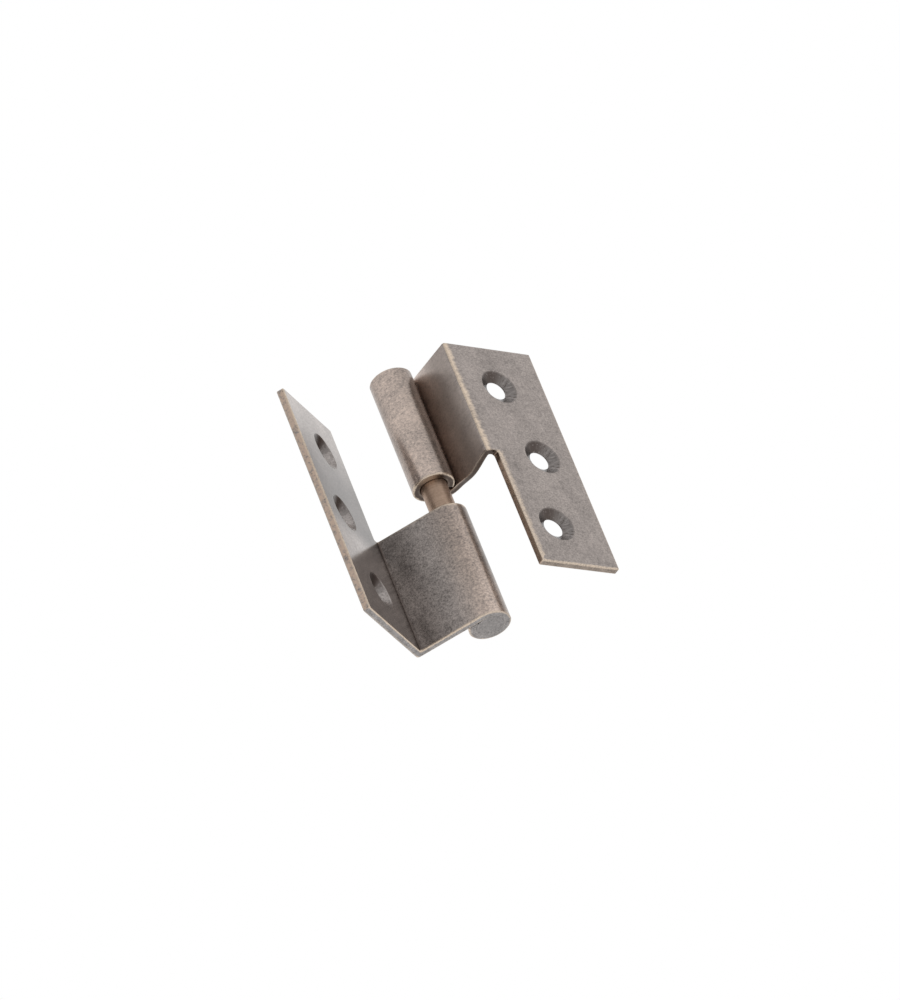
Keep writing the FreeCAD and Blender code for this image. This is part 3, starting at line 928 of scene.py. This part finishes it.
@dataclass
class Leaf:
    """One folded and rolled leaf. Runs are measured from the flap's free edge along the sheet's middle."""

    name: str
    finish: LeafFinish
    bends: list[Bend]
    run_end: float
    cut: float
    web: Span
    inner_corner: float
    free_edge: Span
    holes: list[Span]
    sunk_face: Face
    swing: float
    place: Triple
    wear: dict[Edge, Wear]
    sag: float = 0.0
    sag_margin: float = 1.0
    end_face: float = 0.0
    end_reach: float = 5.0
    back_line: float = 0.35
    roll_lead: float = 1.0
    roll_fade: float = 4.0
    length: float = SIZES.flap
    thickness: float = SIZES.sheet
    edge_round: float = 0.2
    edge_steps: tuple[float, ...] = (0.2, 0.5, 0.8, 1.0)
    corner: float = 0.35
    corner_pitch: float = 0.09
    hole: float = 2.5
    countersink: float = 4.65
    land: float = 0.3
    rim_round: float = 0.06
    cone_steps: int = 6
    pitch: float = 0.6
    fold_pitch: float = 0.08
    roll_pitch: float = 0.4
    hole_points: int = 72
    slot: str = "leaf_patina"
    stations: np.ndarray = field(init=False)

    def __post_init__(self) -> None:
        """Spaces the stations along the run, closer in the bends."""
        marks = [0.0]
        for bend in self.bends:
            step = self.roll_pitch if bend.radius > 0 else self.fold_pitch
            marks += list(spaced(marks[-1], bend.start, self.pitch))
            marks += list(spaced(marks[-1], bend.end, step))
        marks = [mark for mark in marks if mark < self.run_end - 0.5 * self.roll_pitch] + [self.run_end]
        self.stations = np.unique(np.round(marks, 6))

    def corners(self) -> list[tuple[float, float, float, Edge]]:
        """Lists the outline's corners anticlockwise, each with its rounding and the edge that follows.

        Returns:
            Run, height, rounding and edge of each corner.
        """
        low, high = self.web
        sharp, inner = self.corner, self.inner_corner
        end, cut, top = self.run_end, self.cut, self.length
        first, last = (0.0, 0.0, sharp, Edge.LOW), (0.0, top, sharp, Edge.FREE)
        if low > 0.0:
            return [
                first, (cut, 0.0, sharp, Edge.CUT), (cut, low, inner, Edge.WEB),
                (end, low, sharp, Edge.END), (end, top, sharp, Edge.HIGH), last,
            ]
        return [
            first, (end, 0.0, sharp, Edge.END), (end, high, sharp, Edge.WEB),
            (cut, high, inner, Edge.CUT), (cut, top, sharp, Edge.HIGH), last,
        ]

    def outline(self) -> tuple[np.ndarray, np.ndarray]:
        """Samples the outline.

        Returns:
            Points in order, closer together in the bends and round the corners, and each one's line
            strength, cut tone and line width.
        """
        corners = self.corners()
        count = len(corners)
        points: list[np.ndarray] = []
        edges: list[Edge] = []
        for i, (run, height, radius, edge) in enumerate(corners):
            here = np.array([run, height])
            before = np.array(corners[i - 1][:2]) - here
            after = np.array(corners[(i + 1) % count][:2]) - here
            before, after = before / np.hypot(*before), after / np.hypot(*after)
            centre = here + radius * (before + after)
            steps = max(4, int(radius / self.corner_pitch))
            for k in range(steps + 1):
                turn = 0.5 * math.pi * k / steps
                points.append(centre - radius * (math.cos(turn) * after + math.sin(turn) * before))
                edges.append(corners[i - 1][3] if 2 * k < steps else edge)
            following = corners[(i + 1) % count]
            stop = np.array(following[:2]) - following[2] * after
            points += self.between(here + radius * after, stop)
            edges += [edge] * (len(points) - len(edges))
        outline = np.array(points)
        rolled = self.rolled(outline[:, 0])
        line, rim, tone, width = np.array([
            (w.line, w.rim, w.tone, w.width) for w in (self.wear[edge] for edge in edges)
        ]).T
        begin = self.bends[0].end - self.sag_margin
        reach = self.bends[1].start + self.sag_margin - begin
        share = np.clip((outline[:, 0] - begin) / reach, 0.0, 1.0)
        on_web = np.array([edge is Edge.WEB for edge in edges])
        outline[:, 1] -= on_web * self.sag * np.sin(math.pi * share) ** 2
        return outline, np.column_stack([line * (1.0 - rolled) + rim * rolled, tone, width])

    def rolled(self, run: np.ndarray) -> np.ndarray:
        """Gives the share of roll at each run."""
        return np.clip((run - self.bends[1].start + self.roll_lead) / self.roll_fade, 0.0, 1.0)

    def line_share(self, face: Face, run: np.ndarray) -> np.ndarray:
        """Gives the share of an edge's line on one face: most on the sunk one, and none inside a roll.

        Args:
            face: which side.
            run: run of each point.

        Returns:
            The shares.
        """
        rolled = self.rolled(run)
        flat = 1.0 if face is self.sunk_face else self.back_line
        return flat * (1.0 - rolled) + (face is Face.OUTER) * rolled

    def between(self, start: np.ndarray, stop: np.ndarray) -> list[np.ndarray]:
        """Samples a straight side, without its ends.

        Args:
            start: its first point.
            stop: its last point.

        Returns:
            The points in order.
        """
        if abs(stop[0] - start[0]) < 1e-9:
            heights = spaced(start[1], stop[1], self.pitch)[:-1]
            return [np.array([start[0], h]) for h in heights]
        low, high = sorted((start[0], stop[0]))
        runs = [r for r in self.stations if low + self.fold_pitch < r < high - self.fold_pitch]
        runs = runs if stop[0] > start[0] else runs[::-1]
        return [np.array([r, start[1]]) for r in runs]

    def inside(self, loops: list[np.ndarray], opening: float) -> np.ndarray:
        """Scatters staggered points over a face, clear of its boundary loops and its holes' openings.

        Args:
            loops: the face's boundary loops.
            opening: radius of the holes on this face.

        Returns:
            The points.
        """
        rows = []
        for k, run in enumerate(self.stations):
            bottom, top = (0.0, self.length) if run < self.cut else self.web
            heights = np.arange(bottom + 0.5 * self.pitch * (1 + k % 2), top, self.pitch)
            rows.append(np.column_stack([np.full(len(heights), run), heights]))
        points = np.concatenate(rows)
        clear = np.minimum.reduce([from_outline(points, loop) for loop in loops])
        from_holes = np.min([np.hypot(*(points - hole).T) for hole in np.array(self.holes)], axis=0)
        return points[(clear > 0.4 * self.pitch) & (from_holes > opening)]

    def opening(self, face: Face) -> float:
        """Gives a hole's radius on one face."""
        return self.countersink if face is self.sunk_face else self.hole

    def lay_face(self, blank: Blank, face: Face, outline: np.ndarray,
                 worn: np.ndarray) -> list[np.ndarray]:
        """Fills one face of the blank with triangles.

        Args:
            blank: what the face is added to.
            face: which side.
            outline: the sheet's outline.
            worn: the outline's line strengths, cut tones and line widths.

        Returns:
            The numbers of the boundary points, the outer loop first.
        """
        round_hole = (self.opening(face) + self.rim_round) * spokes(self.hole_points)
        rings = [np.array(centre) + round_hole for centre in self.holes]
        loops = [outline - self.edge_round * outward(outline), *rings]
        points = np.concatenate([*loops, self.inside(loops, self.opening(face))])
        borders, edges, first = [], [], 0
        for loop in loops:
            numbers = np.arange(first, first + len(loop))
            borders.append(numbers)
            edges += list(zip(numbers.tolist(), np.roll(numbers, -1).tolist()))
            first += len(loop)
        made = geometry.delaunay_2d_cdt([Vector(p) for p in points], edges, [], 2, 1e-7)
        if len(made[0]) != len(points):
            raise RuntimeError(f"{self.name}: the triangulation changed the points")
        normals = np.tile((0.0, 0.0, float(face.value)), (len(points), 1))
        distance = np.minimum(from_outline(points, outline) - self.edge_round, blank.FAR)
        line, tone, width = worn[nearest(points, outline)].T
        numbers = blank.add(
            points, 0.5 * self.thickness * face.value, normals,
            edge=(distance / width, line * self.line_share(face, points[:, 0]), tone),
        )
        corners = np.array(made[2])
        ring = np.full(len(points), -1)
        for k, border in enumerate(borders[1:]):
            ring[border] = k
        owners = ring[corners]
        plugs = (owners[:, 0] >= 0) & (owners[:, 0] == owners[:, 1]) & (owners[:, 1] == owners[:, 2])
        corners = corners[~plugs]
        first, second, third = (points[corners[:, i]] for i in range(3))
        ahead, aside = second - first, third - first
        area = ahead[:, 0] * aside[:, 1] - ahead[:, 1] * aside[:, 0]
        turned = area * face.value > 0.0
        corners[turned] = corners[turned][:, ::-1]
        blank.faces += [tuple(map(int, row)) for row in numbers[corners]]
        return [numbers[border] for border in borders]

    def wall_in(self, blank: Blank, outline: np.ndarray, worn: np.ndarray, upper: np.ndarray,
                lower: np.ndarray) -> None:
        """Joins the two faces round the outline, with broken edges.

        Args:
            blank: what the wall is added to.
            outline: the sheet's outline.
            worn: the outline's line strengths, cut tones and line widths.
            upper: numbers of the bore face's outer loop.
            lower: numbers of the outer face's outer loop.
        """
        out = outward(outline)
        unit = out / np.hypot(*out.T)[:, None]
        half, radius = 0.5 * self.thickness, self.edge_round
        line, tone, width = worn.T
        rings = []
        for sign, shares in ((1.0, self.edge_steps), (0.0, [1.0]), (-1.0, self.edge_steps[::-1])):
            for share in shares:
                turn = 0.5 * math.pi * share
                rise = np.full(len(unit), sign * math.cos(turn))
                normals = np.column_stack([unit * math.sin(turn), rise])
                inwards = half - radius if sign == 0.0 else 0.0
                flat = outline - radius * (1.0 - share) * out
                shown = self.line_share(Face.BORE if sign > 0.0 else Face.OUTER, flat[:, 0])
                rings.append(blank.add(
                    flat, sign * (half - radius * share), normals,
                    edge=(inwards / width, line * shown, tone),
                    cut=(0.0, max(0.0, 2.0 * share - 1.0), 0.0),
                ))
        for first, second in zip([upper, *rings], [*rings, lower]):
            blank.strip(first, second)

    def hole_profile(self) -> list[tuple[float, float, float, float]]:
        """Lists radius, depth from the sunk face, and the normal's lean for the rings of one hole.

        Returns:
            Radius, depth, and the normal's parts towards the middle and out of the sunk face.
        """
        deep = self.thickness - self.land
        spread = self.countersink - self.hole
        cone = math.atan2(spread, deep)
        soft = self.rim_round
        rows = [(self.countersink + soft * 0.25, 0.3 * soft, 0.5)]
        for k in range(self.cone_steps):
            share = k / self.cone_steps
            rows.append((self.countersink - share * spread, max(0.8 * soft, share * deep), cone))
        rows += [
            (self.hole + 0.02, deep - 0.02, cone), (self.hole, deep + 0.03, 0.0),
            (self.hole, self.thickness - soft, 0.0),
            (self.hole + 0.3 * soft, self.thickness - 0.3 * soft, -0.8),
        ]
        return [(radius, depth, math.cos(lean), math.sin(lean)) for radius, depth, lean in rows]

    def sink(self, blank: Blank, centre: Span, rings: dict[Face, np.ndarray]) -> None:
        """Joins the two faces through one countersunk hole.

        Args:
            blank: what the hole is added to.
            centre: the hole's centre.
            rings: numbers of the hole's ring on each face.
        """
        spoke = spokes(self.hole_points)
        sign = float(self.sunk_face.value)
        made = []
        for radius, depth, inwards, rise in self.hole_profile():
            normals = np.column_stack([-spoke * inwards, np.full(len(spoke), sign * rise)])
            made.append(blank.add(
                np.array(centre) + radius * spoke, sign * (0.5 * self.thickness - depth), normals,
                cut=(min(1.0, max(0.0, depth / 0.1)), 0.0, 0.0),
                polar=(2.0 * spoke[:, 0], 2.0 * spoke[:, 1], radius),
            ))
        chain = [rings[self.sunk_face], *made, rings[Face(-self.sunk_face.value)]]
        if self.sunk_face is Face.OUTER:
            chain = chain[::-1]
        for first, second in zip(chain, chain[1:]):
            blank.strip(first, second)

    def cut_blank(self) -> Blank:
        """Cuts the flat blank.

        Returns:
            The closed blank with rounded edges and countersunk holes.
        """
        blank = Blank()
        outline, worn = self.outline()
        borders = {face: self.lay_face(blank, face, outline, worn) for face in Face}
        self.wall_in(blank, outline, worn, borders[Face.BORE][0], borders[Face.OUTER][0])
        for i, centre in enumerate(self.holes):
            self.sink(blank, centre, {face: borders[face][i + 1] for face in Face})
        if self.end_face:
            self.skive(blank)
        return blank

    def skive(self, blank: Blank) -> None:
        """Slants the end of the roll to a plane at end_face from the pin's axis, along the web.

        Args:
            blank: the flat blank, whose points are moved.
        """
        radius = self.bends[-1].radius
        square = math.acos(self.end_face / (radius + 0.5 * self.thickness))
        for points in blank.points:
            near = np.clip((points[:, 0] - self.run_end) / self.end_reach + 1.0, 0.0, 1.0)
            further = square - np.arccos(self.end_face / (radius - points[:, 2]))
            points[:, 0] += radius * further * near ** 2

    def fold(self, blank: Blank) -> bpy.types.Object:
        """Folds and rolls the blank, and puts it in the row frame.

        Args:
            blank: the flat blank.

        Returns:
            The finished piece, with its own mesh.
        """
        piece = placed(f"{self.name}_sheet", blank.mesh(f"{self.name}_blank"))
        folding = FoldingTree(f"{self.name}_folding", self.bends)
        modifier = piece.modifiers.new("folding", "NODES")
        modifier.node_group = folding.tree
        turn = math.radians(self.swing)
        sideways, back = self.free_edge
        place = (
            self.place[0] + math.cos(turn) * sideways - math.sin(turn) * back,
            self.place[1] + math.sin(turn) * sideways + math.cos(turn) * back,
            self.place[2],
        )
        inputs = {"Turn": turn + 0.5 * math.pi, "Place": [c * MM for c in place], "Sheet": self.thickness,
                  "Finish": self.finish.make()}
        for bend in self.bends:
            inputs |= {f"{bend.name} {k}": float(getattr(bend, k)) for k in folding.BEND_SIZES}
        for name, value in inputs.items():
            modifier[folding.ids[name]] = value
        graph = bpy.context.evaluated_depsgraph_get()
        mesh = bpy.data.meshes.new_from_object(
            piece.evaluated_get(graph), preserve_all_data_layers=True, depsgraph=graph
        )
        piece.modifiers.remove(modifier)
        flat = piece.data
        piece.data = mesh
        bpy.data.meshes.remove(flat)
        mesh.name = piece.name
        self.set_normals(mesh, blank, turn + 0.5 * math.pi)
        return piece

    def set_normals(self, mesh: bpy.types.Mesh, blank: Blank, turn: float) -> None:
        """Gives the mesh the blank's exact normals, turned through the bends.

        Args:
            mesh: the folded mesh.
            blank: the flat blank that it was folded from.
            turn: the leaf's turn in the row frame, in radians.
        """
        run, _, depth = np.concatenate(blank.points).T
        flat = np.concatenate(blank.normals)
        angle = turn + sum(bend.angle(run, depth) for bend in self.bends)
        cosine, sine = np.cos(angle), np.sin(angle)
        normals = np.column_stack([
            cosine * flat[:, 0] - sine * flat[:, 2], sine * flat[:, 0] + cosine * flat[:, 2], flat[:, 1],
        ])
        normals /= np.linalg.norm(normals, axis=1)[:, None]
        mesh.normals_split_custom_set_from_vertices(normals.tolist())

    def build(self) -> None:
        """Makes the leaf and dresses its CAD node."""
        dress(self.fold(self.cut_blank()), self.name)


@dataclass
class HingePin:
    """The plain pin: its foot riveted flush, its tip chamfered. Heights are in the row frame."""

    finish: PinFinish
    axis: Span = SIZES.axis
    foot: float = SIZES.foot
    length: float = SIZES.pin_length
    radius: float = 0.5 * SIZES.pin
    rivet: float = 0.2
    rivet_steps: int = 4
    lead: float = 0.8
    tip_round: float = 0.15
    foot_rim: float = 0.25
    around: int = 120
    along: float = 0.8
    smooth_angle: float = math.radians(30.0)
    name: str = "hinge_pin"
    slot: str = "pin_steel"

    def profile(self) -> list[Span]:
        """Lists radius and height from the foot's middle to the tip's middle.

        Returns:
            The rings of the pin.
        """
        wide = self.radius + self.rivet
        rows = [(r, 0.0) for r in (0.4 * wide, 0.7 * wide, wide - self.foot_rim, wide)]
        for k in range(1, self.rivet_steps + 1):
            turn = 0.5 * math.pi * k / self.rivet_steps
            rows.append((wide - self.rivet * math.sin(turn), self.rivet * (1.0 - math.cos(turn))))
        soft, top, tip = self.tip_round, self.length - self.lead, self.radius - self.lead
        rows += [(self.radius, h) for h in spaced(self.rivet, top - soft, self.along)]
        rows += [
            (self.radius - 0.3 * soft, top + 0.3 * soft), (tip + 0.5 * soft, self.length - 0.5 * soft),
            (tip - 0.4 * soft, self.length), (0.5 * (tip - 0.4 * soft), self.length),
        ]
        return rows

    def build(self) -> None:
        """Turns the pin and dresses its CAD node."""
        rings = self.profile()
        count, total = self.around, len(rings)
        spoke = spokes(count) * (1.0, -1.0)
        points = [np.column_stack([r * spoke, np.full(count, h)]) for r, h in rings]
        points.append(np.array([[0.0, 0.0, 0.0], [0.0, 0.0, self.length]]))
        vertices = (np.concatenate(points) + np.array([*self.axis, self.foot])) * MM
        faces = []
        for k in range(total - 1):
            for i in range(count):
                j = (i + 1) % count
                faces.append((k * count + i, k * count + j, (k + 1) * count + j, (k + 1) * count + i))
        last, low = (total - 1) * count, total * count
        faces += [((i + 1) % count, i, low) for i in range(count)]
        faces += [(last + i, last + (i + 1) % count, low + 1) for i in range(count)]
        mesh = bpy.data.meshes.new("hinge_pin_turned")
        mesh.from_pydata(vertices.tolist(), [], faces, shade_flat=False)
        mesh.materials.append(self.finish.make())
        mesh.set_sharp_from_angle(angle=self.smooth_angle)
        dress(placed("hinge_pin_turned", mesh), self.name)


@dataclass(frozen=True)
class Lamp:
    """One soft area lamp that points at the hinge."""

    name: str
    place: Triple
    size: float
    watts: float

    def build(self, target: Vector) -> None:
        """Adds the lamp.

        Args:
            target: what it points at.
        """
        light = bpy.data.lights.new(self.name, "AREA")
        light.shape = "DISK"
        light.size = self.size
        light.energy = self.watts
        lamp = placed(self.name, light)
        lamp.location = self.place
        lamp.visible_glossy = False
        lamp.rotation_euler = (target - lamp.location).to_track_quat("-Z", "Y").to_euler()


@dataclass
class Studio:
    """A pale one-sided floor, a white surround and soft lamps, seen from under the hinge."""

    floor_height: float = -0.0328
    floor_size: float = 3.0
    floor_colour: Colour = (0.84, 0.84, 0.84)
    floor_tint: Colour = (0.8064, 0.8064, 0.8064)
    floor_mottle: Texture = Texture(6.0)
    white: Colour = (1.0, 1.0, 1.0)
    ambient: float = 0.75
    front_level: float = 0.72
    eye: Triple = (0.39892423, -1.43878491, -0.99431888)
    right: Triple = (0.84282709, 0.43586136, -0.31570139)
    up: Triple = (0.49548617, -0.39944205, 0.77132322)
    ahead: Triple = (-0.21008557, 0.80651778, 0.55262385)
    lens: float = 290.561
    sensor: float = 36.0
    target: Triple = (0.017, 0.017, 0.0)
    lamps: tuple[Lamp, ...] = (
        Lamp("key_lamp", (-0.55, -0.55, 0.85), 0.7, 2.0),
        Lamp("side_lamp", (0.9, 0.1, 0.5), 0.6, 0.9),
        Lamp("low_lamp", (-0.3, -0.9, -0.5), 0.6, 0.6),
    )

    def floor_finish(self) -> bpy.types.Material:
        """Builds the floor's material: pale from above, clear from below and to lamps under it.

        Returns:
            The material.
        """
        material, g = new_material("pale_floor")
        rays = g.outputs("ShaderNodeLightPath")
        under = g.node("ShaderNodeNewGeometry", None, None, "Backfacing")
        mottle = g.noise(g.node("ShaderNodeTexCoord", None, None, "Object"), self.floor_mottle)
        pale = g.node("ShaderNodeBsdfPrincipled", None, {
            "Base Color": g.mix(mottle, self.floor_tint, self.floor_colour), "Roughness": 0.7,
            "Specular IOR Level": 0.2,
        })
        white = g.node("ShaderNodeEmission", None, {"Color": full(self.white), "Strength": 1.0})
        mirrored = rays["Is Glossy Ray"].larger(rays["Is Transmission Ray"])
        seen = g.node("ShaderNodeMixShader", None, {0: mirrored, 1: pale, 2: white})
        clear = g.node("ShaderNodeBsdfTransparent")
        passed = under.larger(rays["Is Shadow Ray"])
        g.node("ShaderNodeOutputMaterial", None, {
            "Surface": g.node("ShaderNodeMixShader", None, {0: passed, 1: seen, 2: clear}),
        })
        return material

    def build_floor(self) -> None:
        """Lays the floor under the hinge."""
        half = 0.5 * self.floor_size
        signs = ((-1, -1), (1, -1), (1, 1), (-1, 1))
        corners = [(x * half, y * half, self.floor_height) for x, y in signs]
        mesh = bpy.data.meshes.new("floor")
        mesh.from_pydata(corners, [], [(0, 1, 2, 3)])
        mesh.materials.append(self.floor_finish())
        placed("floor", mesh)

    def build_world(self) -> None:
        """Sets the white surround, plain to the camera and shaded in reflections."""
        world = bpy.data.worlds.new("studio")
        world.use_nodes = True
        g = Graph(world.node_tree)
        rays = g.outputs("ShaderNodeLightPath")
        _, y, _ = g.parts(g.node("ShaderNodeTexCoord", None, None, "Generated"))
        front = (y * -1.0).ramp(0.1, 0.9, 1.0, self.front_level)
        mirrored = rays["Is Glossy Ray"].larger(rays["Is Transmission Ray"])
        camera = rays["Is Camera Ray"]
        strength = camera + (1.0 - camera) * (mirrored * front + (1.0 - mirrored) * self.ambient)
        sky = g.node("ShaderNodeBackground", None, {"Color": full(self.white), "Strength": strength})
        g.node("ShaderNodeOutputWorld", None, {"Surface": sky})
        bpy.context.scene.world = world

    def build_camera(self) -> None:
        """Puts the camera at the photograph's viewpoint."""
        data = bpy.data.cameras.new("camera")
        data.lens = self.lens
        data.sensor_width = self.sensor
        data.clip_end = 20.0
        camera = placed("camera", data)
        axes = (Vector(self.right), Vector(self.up), -Vector(self.ahead))
        camera.matrix_world = Matrix.Translation(self.eye) @ Matrix(axes).transposed().to_4x4()
        bpy.context.scene.camera = camera

    def build(self) -> None:
        """Adds the floor, world, lamps and camera."""
        self.build_floor()
        self.build_world()
        for lamp in self.lamps:
            lamp.build(Vector(self.target))
        self.build_camera()
        bpy.context.scene.view_settings.view_transform = "Standard"


def crank_fold(reach: float, web_out: float) -> Bend:
    """Sizes the crank fold of a leaf, from its reach and its web's outer face."""
    radius = -SIZES.bend - 0.5 * SIZES.sheet
    return Bend.turning("Fold", reach - web_out - SIZES.bend, 90.0, radius, SIZES.arris_sharpness)


def frame_leaf() -> Leaf:
    """Sizes the leaf that is screwed to the frame and holds the pin.

    Returns:
        The leaf.
    """
    half, bore = 0.5 * SIZES.sheet, 0.5 * SIZES.pin + SIZES.frame_fit
    web_out = bore + SIZES.sheet
    fold = crank_fold(SIZES.frame_reach, web_out)
    end_face = bore - 0.5 * SIZES.seam
    roll = Bend.turning("Roll", fold.end + SIZES.crank - SIZES.bend, 360.0, bore + half)
    run_end = roll.end - roll.radius * math.acos(end_face / web_out)
    finish = LeafFinish(
        name="frame_leaf_patina", fold=fold, web_end=roll.start, sunk_face=Face.OUTER,
        flap=Zone(1.1, 0.1, 0.5, 0.22), web=Zone(1.12, 0.15, 0.8, 0.26), roll=Zone(1.42, 0.9, 0.75, 0.25),
        # The gain below 0 paints a dark reflection along the knuckle.
        brushing=0.3, front_run=roll.start + 6.2, front_gain=-0.45, front_width=2.2,
        # The flap gets a painted shaded middle and a painted lit top.
        sink_shade=(-0.8, 1.0), sink_shine=0.65, flap_tones=(1.28, 0.54, 1.45), rubbed_foot=0.3,
    )
    wear = {
        Edge.FREE: Wear(0.8, 0.8, 1.0), Edge.LOW: Wear(0.95, 0.6, 0.0),
        Edge.HIGH: Wear(0.1, 0.1, 0.2), Edge.CUT: Wear(0.3, 0.3, -0.5),
        Edge.WEB: Wear(0.35, 1.0, -0.3, 2.0), Edge.END: Wear(0.1, 0.1, -0.3),
    }
    return Leaf(
        name="frame_leaf", finish=finish, bends=[fold, roll], run_end=run_end, end_face=end_face,
        cut=SIZES.frame_reach - web_out - SIZES.frame_cut_back, web=(0.0, SIZES.knuckle),
        inner_corner=0.12, free_edge=(-SIZES.crank - half, -SIZES.frame_reach),
        holes=SIZES.holes(SIZES.frame_reach), sunk_face=Face.OUTER, swing=0.0,
        place=(*SIZES.axis, SIZES.foot), wear=wear,
    )


def lift_off_leaf() -> Leaf:
    """Sizes the leaf that lifts off the pin, with the web that wraps round its knuckle.

    Returns:
        The leaf.
    """
    half, middle = 0.5 * SIZES.sheet, 0.5 * SIZES.pin + SIZES.lift_fit + 0.5 * SIZES.sheet
    web_out = middle + half + SIZES.seam + SIZES.sheet
    crank = SIZES.crank - SIZES.nesting - SIZES.sheet
    lean = math.radians(SIZES.blend)
    wide = (web_out - half + math.sin(lean) * middle) / (1.0 + math.sin(lean))
    fold = crank_fold(SIZES.lift_reach, web_out)
    straight = crank - SIZES.bend - math.cos(lean) * (wide - middle)
    wrap = Bend.turning("Wrap", fold.end + straight, 90.0 + SIZES.blend, wide)
    roll = Bend.turning("Roll", wrap.end, SIZES.wrap_end - SIZES.blend, middle)
    finish = LeafFinish(
        name="lift_off_leaf_patina", fold=fold, web_end=wrap.end, sunk_face=Face.BORE,
        flap=Zone(1.16, 0.25, 0.5, 0.22), web=Zone(1.08, 0.5, 0.3, 0.32), roll=Zone(1.25, 0.8, 0.6, 0.28),
        # The gain above 0 paints a highlight along the knuckle's front.
        brushing=0.5, front_run=wrap.end + 7.9, front_gain=0.68, front_width=3.7,
        # The rim's cut faces get a painted highlight along the front band.
        sink_shade=(1.0, 1.0), inner_web=1.3, touched_rim=1.0, cut=(0.245, 0.203, 0.172),
    )
    # The CUT tone paints a highlight on a wall in shade; the WEB tone paints shade on the roll's lower end
    # face.
    wear = {
        Edge.FREE: Wear(0.35, 0.35, 0.4), Edge.LOW: Wear(0.8, 0.8, 0.06),
        Edge.HIGH: Wear(0.08, 0.15, 0.1), Edge.CUT: Wear(0.8, 0.8, 0.95, 5.0),
        Edge.WEB: Wear(0.2, 0.8, -0.85, 1.3), Edge.END: Wear(0.1, 0.1, -0.6),
    }
    return Leaf(
        name="lift_off_leaf", finish=finish, bends=[fold, wrap, roll], run_end=roll.end,
        cut=SIZES.lift_reach - web_out - SIZES.lift_cut_back, web=(SIZES.flap - SIZES.knuckle, SIZES.flap),
        inner_corner=0.7, free_edge=(-crank - half, -SIZES.lift_reach),
        holes=SIZES.holes(SIZES.lift_reach), sunk_face=Face.BORE, swing=SIZES.swing,
        place=(*SIZES.axis, SIZES.foot + SIZES.lift), wear=wear, sag=0.85,
    )


def main() -> None:
    """Builds the leaves, the pin and the studio."""
    logging.basicConfig(level=logging.INFO, format="%(name)s %(message)s")
    for leaf in (frame_leaf(), lift_off_leaf()):
        leaf.build()
    HingePin(PinFinish()).build()
    Studio().build()


if __name__ == "__main__":
    main()
